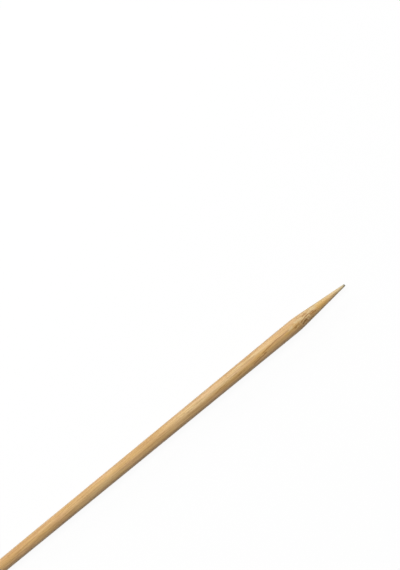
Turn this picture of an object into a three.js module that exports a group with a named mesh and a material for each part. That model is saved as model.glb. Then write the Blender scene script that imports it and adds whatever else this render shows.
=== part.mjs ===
// A round bamboo skewer: one straight stick with a long ground point at one end and a square cut at the
// other. It lies along X on the plane z = 0, with its point towards +X, and the origin is under the middle
// of its length. Millimetres, +Z up.

import * as THREE from "three";

// Driving dimensions
const LENGTH = 200; // from the butt to the end of the point
const DIAMETER = 4; // of the shank
const POINT_LENGTH = 17; // from the shoulder to the end of the point
const TIP_DIAMETER = 0.6; // of the blunt end that is left by the grinding
const SHOULDER_RADIUS = 20; // of the soft turn from the shank into the cone
const TIP_EDGE_RADIUS = 0.1; // round the blunt end
const BUTT_EDGE_RADIUS = 0.15; // round the saw cut, where tumbling has worn the edge

// How finely the round forms are divided
const SIDES = 64;
const EDGE_STEPS = 4;
const SHOULDER_STEPS = 6;

const BAMBOO = { color: 0xd6b57e, roughness: 0.62, metalness: 0 };

// A point of the profile: its place along the axis, measured from the butt, and its radius there.
const at = (along, radius) => new THREE.Vector2(radius, along);

// The points of the arc that rounds the corner between two straight lines, with the given radius. The
// radius gives way where a line is too short to hold the arc and its neighbour.
function roundedCorner(before, corner, after, radius, steps) {
  const back = before.clone().sub(corner);
  const ahead = after.clone().sub(corner);
  const halfAngle = Math.acos(back.dot(ahead) / (back.length() * ahead.length())) / 2;
  const room = Math.min(back.length(), ahead.length()) / 2;
  const reach = Math.min(radius / Math.tan(halfAngle), room);
  const start = corner.clone().addScaledVector(back.normalize(), reach);
  const end = corner.clone().addScaledVector(ahead.normalize(), reach);
  const middle = back.add(ahead).normalize();
  const centre = corner.clone().addScaledVector(middle, reach / Math.cos(halfAngle));
  const from = start.clone().sub(centre).angle();
  const full = 2 * Math.PI;
  const turn = ((end.clone().sub(centre).angle() - from + 3 * Math.PI) % full) - Math.PI;
  const fitted = start.distanceTo(centre);
  return Array.from({ length: steps + 1 }, (_, i) => {
    const angle = from + (turn * i) / steps;
    const offset = new THREE.Vector2(Math.cos(angle), Math.sin(angle)).multiplyScalar(fitted);
    return centre.clone().add(offset);
  });
}

// The outline of half the stick, from the middle of the butt to the middle of the tip.
function stickProfile() {
  const radius = DIAMETER / 2;
  const buttCentre = at(0, 0);
  const buttCorner = at(0, radius);
  const shoulder = at(LENGTH - POINT_LENGTH, radius);
  const tipCorner = at(LENGTH, TIP_DIAMETER / 2);
  const tipCentre = at(LENGTH, 0);
  return [
    buttCentre,
    ...roundedCorner(buttCentre, buttCorner, shoulder, BUTT_EDGE_RADIUS, EDGE_STEPS),
    ...roundedCorner(buttCorner, shoulder, tipCorner, SHOULDER_RADIUS, SHOULDER_STEPS),
    ...roundedCorner(shoulder, tipCorner, tipCentre, TIP_EDGE_RADIUS, EDGE_STEPS),
    tipCentre,
  ];
}

// The stick, turned about its own axis and laid down along X on the plane z = 0.
function makeSkewer() {
  const geometry = new THREE.LatheGeometry(stickProfile(), SIDES);
  const skewer = new THREE.Mesh(geometry, new THREE.MeshStandardMaterial(BAMBOO));
  skewer.name = "skewer";
  skewer.rotation.z = -Math.PI / 2;
  skewer.position.set(-LENGTH / 2, 0, DIAMETER / 2);
  return skewer;
}

const part = new THREE.Group();
part.add(makeSkewer());

export default part;
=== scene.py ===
# The looks of a round bamboo skewer that lies on a pale floor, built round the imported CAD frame.
# Its grain is a solid one: bundles of dark fibre run along the stick, and the turned shank, the ground
# point and the sawn butt all cut through the same ones. The stick lies along X with its point towards +X.
# Names that end in MM, the Stick and the arrays of points are in millimetres; the scene is in metres.

import math

import bpy
import numpy as np
from mathutils import Matrix, Vector


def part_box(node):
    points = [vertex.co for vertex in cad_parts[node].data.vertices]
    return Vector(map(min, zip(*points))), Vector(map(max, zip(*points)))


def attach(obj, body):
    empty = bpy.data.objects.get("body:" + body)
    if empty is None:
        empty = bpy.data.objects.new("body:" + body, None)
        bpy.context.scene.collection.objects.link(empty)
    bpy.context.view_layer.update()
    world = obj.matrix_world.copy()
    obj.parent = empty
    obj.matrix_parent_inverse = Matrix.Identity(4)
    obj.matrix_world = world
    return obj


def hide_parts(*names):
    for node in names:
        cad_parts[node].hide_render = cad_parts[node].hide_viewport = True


MM = 0.001
SEED = 41

# The form of the stick
POINT_LENGTH_MM = 17.0
TIP_RADIUS_MM = 0.3
SHOULDER_SOFTNESS_MM = 0.5  # how gradually the shank turns into the cone
BUTT_EDGE_MM = 0.15
TIP_EDGE_MM = 0.1

# How finely it is divided
SIDES = 160
SHANK_STEP_MM = 0.6
POINT_STEP_MM = 0.14
FINE_LENGTH_MM = 26.0  # of the stretch at the point that has the fine step
EDGE_STEPS = 5
BUTT_RINGS = 36
TIP_RINGS = 3
LINE_STEPS = 16  # for each place that a line in the grain passes through

# The grain
BUNDLE_SPACING_MM = 0.5
ROW_SPACING = 0.866  # of the bundle spacing, as in a honeycomb
BUNDLE_JITTER = 0.28  # of the bundle spacing
BUNDLE_RADIUS_MM = (0.07, 0.13)
BUNDLE_STRENGTHS = (0.25, 1.0)
BUNDLE_FADE = 0.2  # the share of a bundle's strength that comes and goes along it
FADE_LENGTHS_MM = (15.0, 60.0)
TONE_REACH_MM = 0.34  # how far round a bundle its own tone spreads
TONE_SPREAD = 0.55  # how much the bundles' tones differ
TONE_DRIFT = 0.25  # how much each tone changes along the stick
DRIFT_LENGTHS_MM = (12.0, 70.0)
BUNDLE_WAVES = 3  # in each fade and each drift
NO_WEIGHT = 1e-6  # where no bundle is near, so that a mean tone is never divided by 0
WANDER_MM = 0.22  # how far the grain leaves the straight along the stick
WANDER_LENGTHS_MM = (45.0, 160.0)

# The bamboo's node, which the cone cuts through. Every place is given as millimetres from the end of the
# point, and degrees round the stick from its top towards -Y.
NODE_CENTRE = (14.4, 38.0)
NODE_REACH_MM = (4.2, 1.15)  # along and across
NODE_PUSH_MM = 0.42  # how far the fibres bow round it
PUSH_STEEPNESS = 2.0  # how sharply the bow changes sides at the node's middle
PUSH_WIDTH = 2.0  # how far it reaches to the side, in the node's own reach across
NODE_WAVE_MM = 0.13  # how far the fibres waver beside it
NODE_WAVE_LENGTH_MM = 3.1
NODE_WAVE_SLANT = 2.0  # radians by which the waver shifts in each millimetre across
RUFFLE_REACH_MM = (3.6, 1.5)  # of the broken grain over it, along and across

# Lines in the grain: the places each passes through, its half width in millimetres and its strength
BROWN_LINES = (
    (((10.3, 23), (10.9, 21), (11.4, 20), (12.1, 19)), 0.19, 0.9),
    (((11.0, 8), (11.7, 1), (12.5, 1), (13.3, 5), (14.1, 7), (14.9, 14), (15.6, 22)), 0.16, 0.9),
    (((12.9, -10), (13.2, -18), (13.7, -22), (14.2, -17)), 0.24, 0.8),
    (((14.4, -32), (15.2, -28), (16.2, -30)), 0.17, 0.6),
    (((12.9, 26), (13.5, 23), (14.2, 24), (14.8, 30)), 0.13, 0.85),
    (((16.1, 13), (16.7, 17), (17.2, 20), (17.7, 25)), 0.34, 0.65),
    (((19.5, 3), (21.8, 2), (23.2, 1), (24.5, 2), (25.8, 6), (27.6, 12), (29.3, 18)), 0.17, 0.85),
    (((26.2, 3), (29.2, 13), (33.1, 29)), 0.15, 0.65),
    (((28.2, 28), (30.6, 35), (33.0, 40)), 0.20, 0.9),
    (((37.0, 26), (38.8, 31)), 0.15, 0.65),
    (((38.2, 7), (40.9, 8), (43.1, 15), (46.8, 27)), 0.14, 0.65),
    (((48.0, -8), (55.0, -4), (60.0, -5)), 0.15, 0.6),
    (((30.0, -35), (38.0, -30), (44.0, -33)), 0.14, 0.5),
)
PALE_LINES = (
    (((10.6, 10), (11.8, -6), (13.1, -7), (14.4, 0), (15.2, 7), (15.8, 14)), 0.18, 1.0),
    (((14.7, -14), (15.5, -10), (16.9, -14)), 0.28, 1.0),
    (((13.0, 15), (14.0, 16), (14.7, 21), (15.4, 31)), 0.13, 0.9),
    (((18.2, 2), (18.9, 6), (19.6, 8)), 0.24, 0.7),
    (((36.0, -33), (37.5, -32), (38.9, -26)), 0.20, 1.0),
    (((48.2, -54), (50.0, -50)), 0.22, 0.9),
)
LINE_WAVER_MM = 0.06
LINE_WAVER_SHARES = (0.15, 0.6)  # of the line's own length

# Stains on the surface: place, reach along and across in millimetres, and strength
BROWN_STAINS = (
    ((13.75, 33.0), 0.32, 0.22, 0.9),
    ((14.35, 36.0), 0.42, 0.30, 1.0),
    ((15.1, 40.0), 0.38, 0.22, 0.9),
    ((17.1, 21.0), 0.8, 0.35, 0.4),
)
GOLD_STAINS = (
    ((7.4, 14.0), 2.2, 0.7, 1.0),
    ((8.9, -15.0), 1.1, 0.5, 0.9),
    ((11.2, 22.0), 2.0, 0.4, 0.5),
    ((20.6, 18.0), 0.8, 0.3, 1.0),
    ((24.0, -25.0), 1.5, 0.4, 0.6),
    ((31.0, 16.0), 6.0, 0.5, 0.45),
    ((45.0, 20.0), 7.0, 0.5, 0.35),
)
PALE_STAINS = (
    ((0.0, 15.0), 4.6, 3.0, 1.0),
    ((10.3, -20.0), 1.8, 0.45, 0.8),
    ((12.9, 19.0), 0.9, 0.40, 1.0),
    ((15.4, -18.0), 1.0, 0.3, 0.6),
    ((9.0, -50.0), 8.0, 0.9, 0.75),
    ((34.0, -20.0), 9.0, 0.5, 0.4),
    ((41.0, 6.0), 6.0, 0.5, 0.35),
    ((54.0, 0.0), 13.0, 1.3, 0.55),
    ((92.0, 25.0), 16.0, 1.1, 0.45),
)
TIP_SHADE_FADE_MM = 1.3  # how soon the painted shade at the blunt end, a grey, fades back along the point

# The surface detail. Angles are in radians.
BUNDLE_DEPTH_MM = 0.012
STAIN_DEPTH_MM = 0.035
FACET_DEPTH_MM = 0.014  # of the flats that the turning leaves
FACETS = 11
FACET_WAVER = 0.6
FACET_WAVER_LENGTHS_MM = (30.0, 90.0)
GRINDING_DEPTH_MM = 0.0015
GRINDING_STEP_MM = 0.42
GRINDING_SLANT = 1.5  # how far the rings lean
SAW_DEPTH_MM = 0.03
SAW_TILT = 0.4  # of the saw marks from level
SAW_MARKS = 9.0  # how far their wave turns in each millimetre
SAW_WAVER = 0.7
SAW_WAVER_LENGTHS_MM = (0.8, 3.0)
END_DEPTH_MM = 0.05  # how unevenly the two ends are finished
END_SLOPE_TURN = 1.1  # from the top to where the butt is cut back most

# Colours, linear
TAN = (0.55, 0.295, 0.082)
CREAM = (0.77, 0.52, 0.23)
ROSE = (0.70, 0.40, 0.19)
PALE_YELLOW = (0.76, 0.62, 0.34)
FIBRE_BROWN = (0.36, 0.17, 0.045)
LINE_BROWN = (0.30, 0.118, 0.014)
HONEY = (0.68, 0.42, 0.11)
GOLD = (0.66, 0.39, 0.085)
STAIN_BROWN = (0.185, 0.082, 0.004)
FLECK_BROWN = (0.26, 0.12, 0.030)
# Painted shade on the blunt tip: a grey that fades back from it, and dark at its very end
TIP_SHADE_GREY = (0.33, 0.325, 0.24)
TIP_SHADE_DARK = (0.08, 0.07, 0.05)
FLOOR_GREY = (0.15, 0.15, 0.15)
WHITE = (1.0, 1.0, 1.0)

# The noises in the wood: waves in each millimetre along the grain and across it, detail and distortion
NOISES = {
    "patches": (0.045, 0.5, 2.0, 0.0),
    "blush": (0.09, 0.9, 2.0, 0.0),
    "honey": (0.10, 1.2, 2.0, 0.0),
    "streaks": (0.05, 2.2, 3.0, 0.0),
    "threads": (0.10, 4.6, 3.0, 0.0),
    "fibres": (0.22, 10.0, 4.0, 0.0),
    "hairs": (0.35, 26.0, 2.0, 0.0),
    "flecks": (0.55, 8.0, 1.0, 0.0),
    "ruffles": (1.0, 2.4, 3.0, 0.7),
}
NOISE_ROUGHNESS = 0.55
NOISE_SPAN = (0.3, 0.7)  # where nearly all of a noise lies

# The tone of the wood between the fibres, from tan at the low end of its span to cream at the high end
TONE_SPAN = (-0.9, 1.1)
PATCH_TONE = 0.5  # how much the patches add or take away
STREAK_TONE = 0.55

# Layers of colour, the first one lowest: the noise, the level where the colour sets in, the level where it
# is fullest, how much of it shows there, and the colour
GROUND_LAYERS = (
    ("blush", 0.45, 0.68, 0.75, ROSE),
    ("honey", 0.48, 0.68, 0.60, HONEY),
)
FIBRE_LAYERS = (
    ("threads", 0.50, 0.68, 0.52, FIBRE_BROWN),
    ("threads", 0.46, 0.34, 0.42, CREAM),
    ("fibres", 0.45, 0.75, 0.34, FIBRE_BROWN),
    ("hairs", 0.50, 0.70, 0.26, FIBRE_BROWN),
    ("hairs", 0.46, 0.32, 0.25, CREAM),
)
RUFFLE_LAYERS = (
    ("ruffles", 0.54, 0.68, 0.55, FIBRE_BROWN),
    ("ruffles", 0.46, 0.32, 0.65, PALE_YELLOW),
)
FLECK_LAYERS = (("flecks", 0.65, 0.77, 0.65, FLECK_BROWN),)

# How much of a mark's colour shows where the mark is strongest
PALE_SHARE = 0.8
BUNDLE_SHARES = (0.3, 0.8)  # where the noise of the fibres is low, and where it is high
GOLD_SHARE = 0.65
LINE_SHARE = 0.9
STAIN_SHARE = 0.95
SAWN_SHARE = 0.15
# The next three set the painted shade on the blunt tip: its grey, and its dark at the very end
TIP_SHADE_GREY_SHARE = 0.75
TIP_SHADE_DARK_SHARE = 0.7
TIP_SHADE_DARK_LEVELS = (0.8, 1.0)  # from where to where the painted shade at the tip turns dark
TORN_REACH = 0.3  # how much the noise adds to a torn mark or takes away
TORN_LEVELS = (0.32, 0.85)  # from where to where a torn mark sets in

# The surface of the wood
GLOSS = {"IOR": 1.5, "Specular IOR Level": 0.28, "Sheen Weight": 0.25, "Sheen Roughness": 0.6}
ROUGHNESS = (0.38, 0.52)
BUMP_STRENGTH = 0.35
BUMP_DEPTH_MM = 0.03
STREAK_HEIGHT = 0.5  # against the fibres
HAIR_HEIGHT = 0.4

# The camera
IMAGE_WIDTH = 400
IMAGE_HEIGHT = 570
LENS = 50.0
SENSOR = 36.0
NEAREST_SEEN = 0.01
TIP_PIXEL = (344.8, 284.8)
TIP_DISTANCE = 0.2145  # from the camera to the tip, along the line of sight through the picture's middle
CAMERA_TURN = 12.0  # degrees, towards the point
CAMERA_HEIGHT = 75.0  # degrees above the floor, on the -Y side
CAMERA_ROLL = 40.75  # degrees

# The lamps: distance, degrees above the floor on the +Y side, degrees towards the butt, side and watts
KEY_LAMP = (0.80, 72.0, 12.0, 0.60, 5.2)
SIDE_LAMP = (0.70, 20.0, 6.0, 0.30, 2.1)
FILL_LAMP = (0.70, 170.0, 0.0, 0.40, 0.30)  # past 90 degrees, so on the -Y side
LAMP_TARGET = 0.5  # of the way from the stick's middle to its point
WORLD_LEVEL = 0.15

# The floor
FLOOR_SIDE = 6.0
FLOOR_GLOW = 0.93  # the share of the floor's white that shadow doesn't reach
FLOOR_FADE = (0.15, 0.70)  # the distances from the stick's middle between which it grows to the whole


def waves(rng, values, lengths, count=5):
    """A smooth wandering curve between about -1 and 1, made of sines of random length and start."""
    total = np.zeros_like(values)
    for _ in range(count):
        length = rng.uniform(*lengths)
        total += np.sin(2 * math.pi * (values / length + rng.random()))
    return total / math.sqrt(count)


def hump(distance):
    """A soft hill: 1 at no distance, and almost nothing beyond twice the unit."""
    return np.exp(-(distance**2))


def above_zero(wave):
    """Brings a wave between -1 and 1 to between 0 and 1."""
    return 0.5 + 0.5 * wave


class Stick:
    """The sizes of the stick in millimetres, taken from the CAD frame."""

    def __init__(self, low, high):
        self.butt = low[0] / MM
        self.tip = high[0] / MM
        self.radius = (high[2] - low[2]) / MM / 2
        self.axis_y = (high[1] + low[1]) / MM / 2
        self.axis_z = (high[2] + low[2]) / MM / 2
        self.shoulder = self.tip - POINT_LENGTH_MM

    def side_radius(self, along):
        """The radius of the shank and of the cone, with a soft turn between them."""
        slope = (self.radius - TIP_RADIUS_MM) / POINT_LENGTH_MM
        past = (along - self.shoulder) / SHOULDER_SOFTNESS_MM
        return self.radius - slope * SHOULDER_SOFTNESS_MM * np.logaddexp(0, past)


def side_stations(stick):
    """The places of the rings along the side, close together at the point."""
    start = stick.butt + BUTT_EDGE_MM
    fine = stick.tip - FINE_LENGTH_MM
    end = stick.tip - TIP_EDGE_MM
    coarse = np.arange(start, fine, SHANK_STEP_MM)[1:]
    close = np.arange(fine, end, POINT_STEP_MM)[:-1]
    return np.concatenate([coarse, close])


def rounded_edge(corner, outwards, radius, edge):
    """The rings of a rounded edge, from the end face to the side.

    Outwards is 1 where the end faces +X, and -1 where it faces -X.
    """
    turn = np.linspace(0, math.pi / 2, EDGE_STEPS)
    along = corner - outwards * edge * (1 - np.cos(turn))
    return list(zip(along, radius - edge * (1 - np.sin(turn))))


def ring_profile(stick):
    """Each ring's place and radius, from the one nearest the butt's middle to the one nearest the tip's."""
    butt_face = stick.radius - BUTT_EDGE_MM
    tip_face = TIP_RADIUS_MM - TIP_EDGE_MM
    stations = side_stations(stick)
    rings = [(stick.butt, r) for r in np.linspace(0, butt_face, BUTT_RINGS + 1)[1:-1]]
    rings += rounded_edge(stick.butt, -1, stick.radius, BUTT_EDGE_MM)
    rings += list(zip(stations, stick.side_radius(stations)))
    rings += rounded_edge(stick.tip, 1, TIP_RADIUS_MM, TIP_EDGE_MM)[::-1]
    rings += [(stick.tip, r) for r in np.linspace(tip_face, 0, TIP_RINGS + 1)[1:-1]]
    return np.array(rings)


def smooth_points(stick, profile):
    """The undetailed surface: each point's place along, its radius, and its turn from the top towards -Y.

    The last two points are the middles of the butt and of the tip.
    """
    turn = np.arange(SIDES) * 2 * math.pi / SIDES
    along = np.repeat(profile[:, 0], SIDES)
    radius = np.repeat(profile[:, 1], SIDES)
    turn = np.tile(turn, len(profile))
    along = np.concatenate([along, [stick.butt, stick.tip]])
    radius = np.concatenate([radius, [0, 0]])
    turn = np.concatenate([turn, [0, 0]])
    return along, radius, turn


def surface_offset(stick, along, radius, turn, place):
    """How far each point is from a place on the surface, along the stick and across it."""
    from_tip, around = place
    swing = np.angle(np.exp(1j * (turn - math.radians(around))))
    return along - stick.tip + from_tip, swing * np.maximum(radius, TIP_RADIUS_MM)


def stains(stick, along, radius, turn, marks):
    """How strongly the given stains colour each point, from 0 to 1."""
    total = np.zeros_like(along)
    for place, reach, width, strength in marks:
        ahead, across = surface_offset(stick, along, radius, turn, place)
        total += strength * hump(np.hypot(ahead / reach, across / width))
    return np.clip(total, 0, 1)


def grain_lines(rng, stick, along, radius, turn, lines):
    """How strongly the given lines colour each point, from 0 to 1."""
    total = np.zeros_like(along)
    for places, width, strength in lines:
        bends = np.arange(len(places))
        steps = np.linspace(0, bends[-1], LINE_STEPS * len(places))
        from_tip, around = (np.interp(steps, bends, values) for values in zip(*places))
        wavers = LINE_WAVER_MM * waves(rng, steps / bends[-1], LINE_WAVER_SHARES)
        nearest = np.full_like(along, np.inf)
        for *place, waver in zip(from_tip, around, wavers):
            ahead, across = surface_offset(stick, along, radius, turn, place)
            nearest = np.minimum(nearest, np.hypot(ahead, across + waver))
        total = np.maximum(total, strength * hump(nearest / width))
    return total


def grain_points(rng, stick, along, radius, turn):
    """Where each point lay in the straight grain, before it wandered and bowed round the node."""
    y = -radius * np.sin(turn)
    z = radius * np.cos(turn)
    y = y + WANDER_MM * waves(rng, along, WANDER_LENGTHS_MM)
    z = z + WANDER_MM * waves(rng, along, WANDER_LENGTHS_MM)
    ahead, across = surface_offset(stick, along, radius, turn, NODE_CENTRE)
    reach, width = NODE_REACH_MM
    near = hump(ahead / reach)
    aside = across / width
    push = NODE_PUSH_MM * near * np.tanh(aside * PUSH_STEEPNESS) * hump(aside / PUSH_WIDTH)
    phase = 2 * math.pi * ahead / NODE_WAVE_LENGTH_MM + across * NODE_WAVE_SLANT
    waver = NODE_WAVE_MM * near * np.sin(phase)
    shift = waver - push
    y = y - shift * np.cos(turn)
    z = z - shift * np.sin(turn)
    return np.stack([along, y, z], axis=1)


def node_nearness(stick, along, radius, turn):
    """How near each point is to the bamboo's node, from 0 to 1."""
    ahead, across = surface_offset(stick, along, radius, turn, NODE_CENTRE)
    reach, width = RUFFLE_REACH_MM
    return hump(np.hypot(ahead / reach, across / width))


def bundle_places(rng, reach):
    """The bundles' places in the cross-section: a loose honeycomb."""
    rows = int(reach / BUNDLE_SPACING_MM / ROW_SPACING) + 1
    places = []
    for row in range(-rows, rows + 1):
        for column in range(-rows, rows + 1):
            y = (column + 0.5 * (row % 2)) * BUNDLE_SPACING_MM
            z = row * BUNDLE_SPACING_MM * ROW_SPACING
            jitter = rng.normal(0, BUNDLE_JITTER * BUNDLE_SPACING_MM, 2)
            places.append((y + jitter[0], z + jitter[1]))
    return [p for p in places if math.hypot(*p) < reach]


def bundle_fields(rng, stick, grain):
    """How much each point is inside a bundle, from 0 to 1, and the pale or dark tone round it."""
    along, y, z = grain.T
    inside = np.zeros_like(along)
    tones = np.zeros_like(along)
    weights = np.full_like(along, NO_WEIGHT)
    for place_y, place_z in bundle_places(rng, stick.radius + 2 * WANDER_MM + NODE_PUSH_MM):
        distance = np.hypot(y - place_y, z - place_z)
        strongest = rng.uniform(*BUNDLE_STRENGTHS)
        fade = BUNDLE_FADE * waves(rng, along, FADE_LENGTHS_MM, BUNDLE_WAVES)
        strength = strongest * (1 - BUNDLE_FADE + fade)
        inside = np.maximum(inside, strength * hump(distance / rng.uniform(*BUNDLE_RADIUS_MM)))
        weight = hump(distance / TONE_REACH_MM)
        own_tone = rng.normal(0, TONE_SPREAD)
        drift = TONE_DRIFT * waves(rng, along, DRIFT_LENGTHS_MM, BUNDLE_WAVES)
        tones += weight * (own_tone + drift)
        weights += weight
    return inside, tones / weights


def surface_detail(rng, stick, along, turn, inside, brown):
    """How far each point of the side sinks below the smooth surface."""
    facet_waver = FACET_WAVER * waves(rng, along, FACET_WAVER_LENGTHS_MM)
    flats = above_zero(np.cos(turn * FACETS + facet_waver))
    on_cone = 1 / (1 + np.exp(-(along - stick.shoulder) / SHOULDER_SOFTNESS_MM))
    ring_phase = 2 * math.pi * along / GRINDING_STEP_MM + GRINDING_SLANT * np.sin(turn)
    rings = above_zero(np.sin(ring_phase))
    depth = BUNDLE_DEPTH_MM * inside + STAIN_DEPTH_MM * brown
    depth += FACET_DEPTH_MM * flats * (1 - on_cone) + GRINDING_DEPTH_MM * rings * on_cone
    return depth


def end_detail(rng, stick, along, radius, turn):
    """How far each point of the two ends moves along the stick.

    Saw marks and a slope cut into the butt, and the tip is worn unevenly.
    """
    across = radius * np.cos(turn + SAW_TILT)
    saw_waver = SAW_WAVER * waves(rng, across, SAW_WAVER_LENGTHS_MM)
    saw = SAW_DEPTH_MM * above_zero(np.sin(across * SAW_MARKS + saw_waver))
    slope = END_DEPTH_MM * (1 + np.cos(turn - END_SLOPE_TURN) * radius / stick.radius)
    at_butt = hump((along - stick.butt) / BUTT_EDGE_MM)
    at_tip = hump((along - stick.tip) / TIP_EDGE_MM)
    tip_wear_and_shade = END_DEPTH_MM * (1 + np.sin(turn * 2) * radius / TIP_RADIUS_MM)
    return (saw + slope) * at_butt - tip_wear_and_shade * at_tip


def ring_faces(rings):
    """The faces between neighbouring rings, and the fans that close both ends."""
    faces = []
    butt_middle = rings * SIDES
    tip_middle = butt_middle + 1
    last = (rings - 1) * SIDES
    for side in range(SIDES):
        other = (side + 1) % SIDES
        faces.append((butt_middle, other, side))
        faces.append((tip_middle, last + side, last + other))
        for first in range(0, last, SIDES):
            faces.append((first + side, first + other, first + SIDES + other, first + SIDES + side))
    return faces


def point_numbers(rng, stick, along, radius, turn):
    """The numbers at each point that the material reads."""
    grain = grain_points(rng, stick, along, radius, turn)
    inside, tone = bundle_fields(rng, stick, grain)
    brown_lines = grain_lines(rng, stick, along, radius, turn, BROWN_LINES)
    pale_lines = grain_lines(rng, stick, along, radius, turn, PALE_LINES)
    pale_stains = stains(stick, along, radius, turn, PALE_STAINS)
    return {
        "grain": grain,
        "bundle": inside,
        "tone": tone,
        "pale": np.maximum(pale_stains, pale_lines),
        "brown": stains(stick, along, radius, turn, BROWN_STAINS),
        "gold": stains(stick, along, radius, turn, GOLD_STAINS),
        "line": brown_lines,
        # Nearness to the tip, which carries the painted shade of the blunt end
        "tip_wear_and_shade": np.exp((along - stick.tip) / TIP_SHADE_FADE_MM),
        "ruffle": node_nearness(stick, along, radius, turn),
        "sawn": hump((along - stick.butt) / BUTT_EDGE_MM),
    }


def stick_points(rng, stick, along, radius, turn, numbers):
    """Each point's place, with the detail cut into the smooth surface."""
    sunk = surface_detail(rng, stick, along, turn, numbers["bundle"], numbers["brown"])
    on_side = np.clip(radius / np.maximum(stick.side_radius(along), TIP_RADIUS_MM), 0, 1)
    real_radius = radius - sunk * on_side
    x = along + end_detail(rng, stick, along, radius, turn)
    y = stick.axis_y - real_radius * np.sin(turn)
    z = stick.axis_z + real_radius * np.cos(turn)
    return np.stack([x, y, z], axis=1)


def add_attribute(mesh, name, values):
    """Gives every vertex a number, or three of them, that the material can read."""
    kind, field = ("FLOAT", "value") if values.ndim == 1 else ("FLOAT_VECTOR", "vector")
    attribute = mesh.attributes.new(name, kind, "POINT")
    attribute.data.foreach_set(field, values.astype(np.float32).ravel())


def make_stick(stick, material):
    """The whole skewer as one closed mesh."""
    rng = np.random.default_rng(SEED)
    profile = ring_profile(stick)
    along, radius, turn = smooth_points(stick, profile)
    numbers = point_numbers(rng, stick, along, radius, turn)
    points = stick_points(rng, stick, along, radius, turn, numbers)
    mesh = bpy.data.meshes.new("bamboo_stick")
    mesh.from_pydata((points * MM).tolist(), [], ring_faces(len(profile)))
    for name, values in numbers.items():
        add_attribute(mesh, name, values)
    mesh.shade_smooth()
    mesh.materials.append(material)
    made = bpy.data.objects.new("bamboo_stick", mesh)
    bpy.context.collection.objects.link(made)
    return made


class Shader:
    """Small helpers that add nodes to one material or world."""

    def __init__(self, owner):
        owner.use_nodes = True
        self.tree = owner.node_tree
        self.tree.nodes.clear()

    def add(self, kind, inputs=None, **settings):
        """Adds a node. An input is either another node's output or a plain value."""
        node = self.tree.nodes.new(kind)
        for name, value in settings.items():
            setattr(node, name, value)
        for name, value in (inputs or {}).items():
            if isinstance(value, bpy.types.NodeSocket):
                self.tree.links.new(value, node.inputs[name])
            else:
                node.inputs[name].default_value = value
        return node

    def attribute(self, name, output="Fac"):
        """Reads the numbers that the mesh's points carry."""
        return self.add("ShaderNodeAttribute", attribute_name=name).outputs[output]

    def noise(self, grain, along, across, detail, distortion):
        """Noise that is drawn out along the grain."""
        stretch = (along, across, across)
        scaled = self.add("ShaderNodeVectorMath", {0: grain, 1: stretch}, operation="MULTIPLY")
        inputs = {
            "Vector": scaled.outputs[0],
            "Scale": 1.0,
            "Detail": detail,
            "Roughness": NOISE_ROUGHNESS,
            "Distortion": distortion,
        }
        return self.add("ShaderNodeTexNoise", inputs).outputs["Fac"]

    def between(self, value, low, high, new_low=0.0, new_high=1.0):
        """Maps one span of a value to another, and holds it at the ends."""
        inputs = {"Value": value, 1: low, 2: high, 3: new_low, 4: new_high}
        return self.add("ShaderNodeMapRange", inputs).outputs[0]

    def math(self, operation, first, second):
        """Adds or multiplies two values, or takes the larger."""
        return self.add("ShaderNodeMath", {0: first, 1: second}, operation=operation).outputs[0]

    def torn(self, mark, noise, most):
        """Gives a soft mark a torn edge: the noise of the grain decides how far it reaches."""
        tear = self.between(noise, *NOISE_SPAN, -TORN_REACH, TORN_REACH)
        return self.between(self.math("ADD", mark, tear), *TORN_LEVELS, 0.0, most)

    def mix(self, factor, first, second):
        """Blends two colours."""
        node = self.add("ShaderNodeMix", data_type="RGBA")
        for index, value in ((0, factor), (6, first), (7, second)):
            if isinstance(value, bpy.types.NodeSocket):
                self.tree.links.new(value, node.inputs[index])
            else:
                node.inputs[index].default_value = value if index == 0 else (*value, 1.0)
        return node.outputs[2]

    def finish(self, shader, kind="ShaderNodeOutputMaterial"):
        """Links the last shader to the output."""
        output = self.add(kind)
        self.tree.links.new(shader, output.inputs["Surface"])


def add_layers(s, colour, noises, layers, where=None):
    """Lays colours over one another where their noises ask for them and the mask, if any, lets them."""
    for name, start, fullest, most, layer_colour in layers:
        share = s.between(noises[name], start, fullest, 0.0, most)
        if where is not None:
            share = s.math("MULTIPLY", where, share)
        colour = s.mix(share, colour, layer_colour)
    return colour


def wood_colour(s, noises):
    """Cream and tan wood with darker bundles, fine fibre and flecks."""
    patches = s.between(noises["patches"], *NOISE_SPAN, -PATCH_TONE, PATCH_TONE)
    streaks = s.between(noises["streaks"], *NOISE_SPAN, -STREAK_TONE, STREAK_TONE)
    tone = s.math("ADD", s.attribute("tone"), patches)
    tone = s.math("ADD", tone, streaks)
    colour = s.mix(s.between(tone, *TONE_SPAN), TAN, CREAM)
    colour = add_layers(s, colour, noises, GROUND_LAYERS)
    colour = s.mix(s.math("MULTIPLY", s.attribute("pale"), PALE_SHARE), colour, PALE_YELLOW)
    bundle_share = s.between(noises["fibres"], *NOISE_SPAN, *BUNDLE_SHARES)
    colour = s.mix(s.math("MULTIPLY", s.attribute("bundle"), bundle_share), colour, FIBRE_BROWN)
    colour = add_layers(s, colour, noises, FIBRE_LAYERS)
    colour = add_layers(s, colour, noises, RUFFLE_LAYERS, s.attribute("ruffle"))
    return add_layers(s, colour, noises, FLECK_LAYERS)


def add_marks(s, colour, noises):
    """Lays the gold stains, the brown lines and the brown stains over the wood."""
    colour = s.mix(s.math("MULTIPLY", s.attribute("gold"), GOLD_SHARE), colour, GOLD)
    colour = s.mix(s.torn(s.attribute("line"), noises["fibres"], LINE_SHARE), colour, LINE_BROWN)
    return s.mix(s.torn(s.attribute("brown"), noises["threads"], STAIN_SHARE), colour, STAIN_BROWN)


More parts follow.
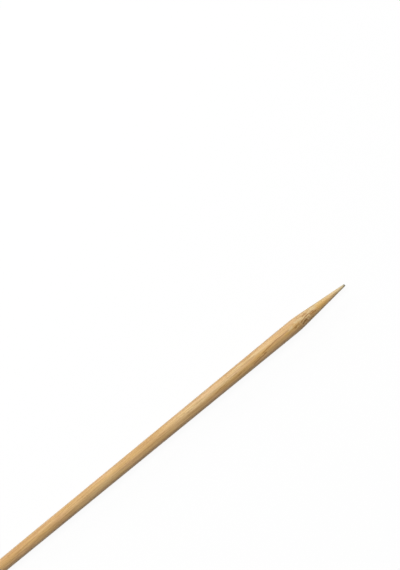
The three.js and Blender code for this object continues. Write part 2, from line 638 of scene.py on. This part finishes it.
def colour_ends(s, colour):
    """Shows the cut bundles on the sawn butt, and paints shade on the blunt tip: grey fading back from it,
    and dark at its very end.
    """
    sawn = s.attribute("sawn")
    colour = s.mix(s.math("MULTIPLY", sawn, SAWN_SHARE), colour, FIBRE_BROWN)
    colour = s.mix(s.math("MULTIPLY", s.attribute("bundle"), sawn), colour, FLECK_BROWN)
    # Painted shade of the blunt end face: grey fading back from the tip, and dark at its very end
    tip_wear_and_shade = s.attribute("tip_wear_and_shade")
    colour = s.mix(s.math("MULTIPLY", tip_wear_and_shade, TIP_SHADE_GREY_SHARE), colour, TIP_SHADE_GREY)
    return s.mix(s.between(tip_wear_and_shade, *TIP_SHADE_DARK_LEVELS, 0.0, TIP_SHADE_DARK_SHARE), colour, TIP_SHADE_DARK)


def fine_bump(s, noises):
    """The grain that is too fine for the mesh."""
    height = s.math("ADD", noises["fibres"], s.math("MULTIPLY", noises["streaks"], STREAK_HEIGHT))
    height = s.math("ADD", height, s.math("MULTIPLY", noises["hairs"], HAIR_HEIGHT))
    inputs = {"Strength": BUMP_STRENGTH, "Distance": BUMP_DEPTH_MM * MM, "Height": height}
    return s.add("ShaderNodeBump", inputs).outputs[0]


def bamboo_material():
    """Bare bamboo with a faint sheen."""
    material = bpy.data.materials.new("bamboo")
    s = Shader(material)
    grain = s.attribute("grain", "Vector")
    noises = {name: s.noise(grain, *values) for name, values in NOISES.items()}
    colour = wood_colour(s, noises)
    colour = add_marks(s, colour, noises)
    colour = colour_ends(s, colour)
    inputs = {
        "Base Color": colour,
        "Roughness": s.between(noises["fibres"], *NOISE_SPAN, *ROUGHNESS),
        "Normal": fine_bump(s, noises),
        **GLOSS,
    }
    s.finish(s.add("ShaderNodeBsdfPrincipled", inputs).outputs[0])
    return material


def seen_directly(s):
    """1 where a thing is seen, also in a reflection or through glass, and 0 where it only gives light."""
    rays = s.add("ShaderNodeLightPath").outputs
    seen = s.math("MAXIMUM", rays["Is Camera Ray"], rays["Is Glossy Ray"])
    return s.math("MAXIMUM", seen, rays["Is Transmission Ray"])


def floor_material():
    """A pale floor that looks white and keeps a faint shadow, but throws little light back up."""
    material = bpy.data.materials.new("pale_floor")
    s = Shader(material)
    seen = seen_directly(s)
    paper = s.add("ShaderNodeBsdfDiffuse", {"Color": s.mix(seen, FLOOR_GREY, WHITE)})
    glow = s.add("ShaderNodeEmission", {"Color": (*WHITE, 1.0), "Strength": 1.0})
    place = s.add("ShaderNodeTexCoord").outputs["Object"]
    away = s.add("ShaderNodeVectorMath", {0: place}, operation="LENGTH").outputs["Value"]
    share = s.math("MULTIPLY", seen, s.between(away, *FLOOR_FADE, FLOOR_GLOW, 1.0))
    both = s.add("ShaderNodeMixShader", {0: share, 1: paper.outputs[0], 2: glow.outputs[0]})
    s.finish(both.outputs[0])
    return material


def make_floor():
    """A square floor that the stick lies on."""
    bpy.ops.mesh.primitive_plane_add(size=FLOOR_SIDE)
    floor = bpy.context.object
    floor.name = "floor"
    floor.data.materials.append(floor_material())
    return floor


def make_world():
    """White where it is seen, and a plain grey light from all round."""
    world = bpy.data.worlds.new("studio")
    bpy.context.scene.world = world
    s = Shader(world)
    strength = s.between(seen_directly(s), 0.0, 1.0, WORLD_LEVEL, 1.0)
    inputs = {"Color": (*WHITE, 1.0), "Strength": strength}
    s.finish(s.add("ShaderNodeBackground", inputs).outputs[0], "ShaderNodeOutputWorld")


def make_lamp(name, target, distance, height, towards_butt, side, watts):
    """A square soft box that faces the target. Its height counts from the floor on the +Y side."""
    rise = math.radians(height)
    swing = math.radians(towards_butt)
    out = Vector((-math.sin(swing) * math.cos(rise), math.cos(swing) * math.cos(rise), math.sin(rise)))
    light = bpy.data.lights.new(name, "AREA")
    light.size = side
    light.energy = watts
    lamp = bpy.data.objects.new(name, light)
    lamp.location = target + out * distance
    lamp.rotation_euler = out.to_track_quat("Z", "Y").to_euler()
    bpy.context.collection.objects.link(lamp)


def place_camera(tip):
    """Looks steeply down at the point, which runs to the upper right of the picture."""
    turn, height, roll = (math.radians(a) for a in (CAMERA_TURN, CAMERA_HEIGHT, CAMERA_ROLL))
    flat = math.cos(turn)
    back = Vector((math.sin(turn), -flat * math.cos(height), flat * math.sin(height)))
    stick_way = Vector((1, 0, 0))
    level = (stick_way - back * stick_way.dot(back)).normalized()
    rising = back.cross(level)
    right = level * math.cos(roll) - rising * math.sin(roll)
    up = level * math.sin(roll) + rising * math.cos(roll)
    focal_pixels = LENS / SENSOR * IMAGE_HEIGHT
    aside = (TIP_PIXEL[0] - IMAGE_WIDTH / 2) / focal_pixels
    above = (IMAGE_HEIGHT / 2 - TIP_PIXEL[1]) / focal_pixels
    data = bpy.data.cameras.new("camera")
    data.lens = LENS
    data.sensor_width = SENSOR
    data.clip_start = NEAREST_SEEN
    camera = bpy.data.objects.new("camera", data)
    camera.matrix_world = Matrix((right, up, back)).transposed().to_4x4()
    camera.location = tip - (right * aside + up * above - back) * TIP_DISTANCE
    bpy.context.collection.objects.link(camera)
    bpy.context.scene.camera = camera


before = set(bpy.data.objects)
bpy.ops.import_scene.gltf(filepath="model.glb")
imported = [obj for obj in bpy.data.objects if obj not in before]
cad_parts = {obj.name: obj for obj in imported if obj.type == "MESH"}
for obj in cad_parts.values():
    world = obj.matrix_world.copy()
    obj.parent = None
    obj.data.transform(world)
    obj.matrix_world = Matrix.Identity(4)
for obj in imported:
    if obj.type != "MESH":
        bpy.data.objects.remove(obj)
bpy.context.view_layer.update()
bpy.context.scene.view_settings.view_transform = "Standard"

low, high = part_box("skewer")
stick = Stick(low, high)
skewer = make_stick(stick, bamboo_material())
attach(skewer, "root")
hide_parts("skewer")

floor = make_floor()
make_world()
lit_place = Vector((LAMP_TARGET * high[0], 0, 0))
make_lamp("key", lit_place, *KEY_LAMP)
make_lamp("side", lit_place, *SIDE_LAMP)
make_lamp("fill", lit_place, *FILL_LAMP)
place_camera(Vector((high[0], 0, stick.axis_z * MM)))
